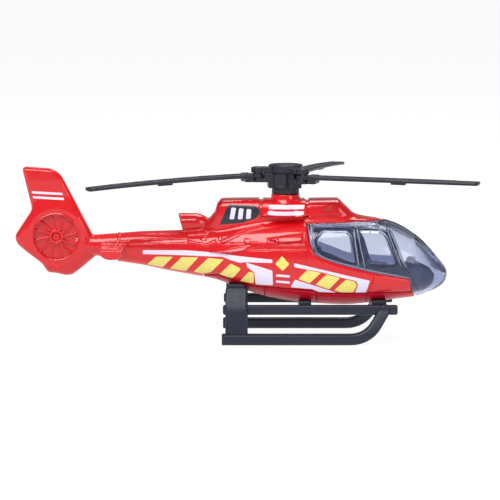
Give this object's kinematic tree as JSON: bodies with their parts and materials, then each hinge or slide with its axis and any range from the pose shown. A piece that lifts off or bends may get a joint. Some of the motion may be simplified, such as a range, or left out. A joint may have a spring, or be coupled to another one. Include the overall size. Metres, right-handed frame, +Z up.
{
  "type": "toy helicopter",
  "caption": "Small die-cast toy helicopter with a shrouded tail fan, tinted canopy, skid landing gear and a turning rotor with pinned blades.",
  "frame": {"origin": "on the ground plane that the skids stand on, straight below the rotor mast, in the mirror plane of the fuselage", "axes": "+X towards the nose, +Y towards the helicopter's left side, +Z up along the rotor mast"},
  "size_m": [0.1393, 0.0873, 0.0531],
  "materials": {
    "red_paint": "gloss red enamel over die-cast metal, with printed livery",
    "red_belly": "gloss red moulded belly plate",
    "tinted_glazing": "smoke-blue clear moulded plastic",
    "interior_plastic": "black moulded plastic",
    "gear_plastic": "satin blue-black moulded plastic",
    "rotor_plastic": "satin blue-black moulded plastic",
    "bare_metal": "plain steel"
  },
  "bodies": {
    "airframe": {"fuselage_shell": "red_paint", "belly_plate": "red_belly", "canopy_glazing": "tinted_glazing", "cabin_interior": "interior_plastic", "belly_rivets": "bare_metal", "skid_left": "gear_plastic", "skid_right": "gear_plastic", "step_bar_left": "gear_plastic", "step_bar_right": "gear_plastic", "rear_strut_left": "gear_plastic", "rear_strut_right": "gear_plastic", "cross_beam_rear": "gear_plastic", "cross_beam_mid": "gear_plastic", "cross_beam_front": "gear_plastic"},
    "rotor_head": {"rotor_hub": "rotor_plastic", "rotor_star_plate": "rotor_plastic", "blade_pins": "rotor_plastic", "rotor_mast": "bare_metal", "mast_retainer": "bare_metal"},
    "blade_a": {"rotor_blade_a": "rotor_plastic"},
    "blade_b": {"rotor_blade_b": "rotor_plastic"},
    "blade_c": {"rotor_blade_c": "rotor_plastic"}
  },
  "joints": [
    {"name": "rotor_spin", "type": "hinge", "parent": "airframe", "child": "rotor_head", "pos_m": [0, 0, 0.0441], "axis": [0, 0, 1], "continuous": true},
    {"name": "blade_fold_a", "type": "hinge", "parent": "rotor_head", "child": "blade_a", "pos_m": [0.00505, -0.00696, 0.05], "axis": [0, 0, 1], "range_deg": [-89.8, 20.2]},
    {"name": "blade_fold_b", "type": "hinge", "parent": "rotor_head", "child": "blade_b", "pos_m": [0.0035, 0.00786, 0.05], "axis": [0, 0, 1], "range_deg": [-62.9, 47.1]},
    {"name": "blade_fold_c", "type": "hinge", "parent": "rotor_head", "child": "blade_c", "pos_m": [-0.00855, -0.0009, 0.05], "axis": [0, 0, 1], "range_deg": [-71, 39]}
  ]
}
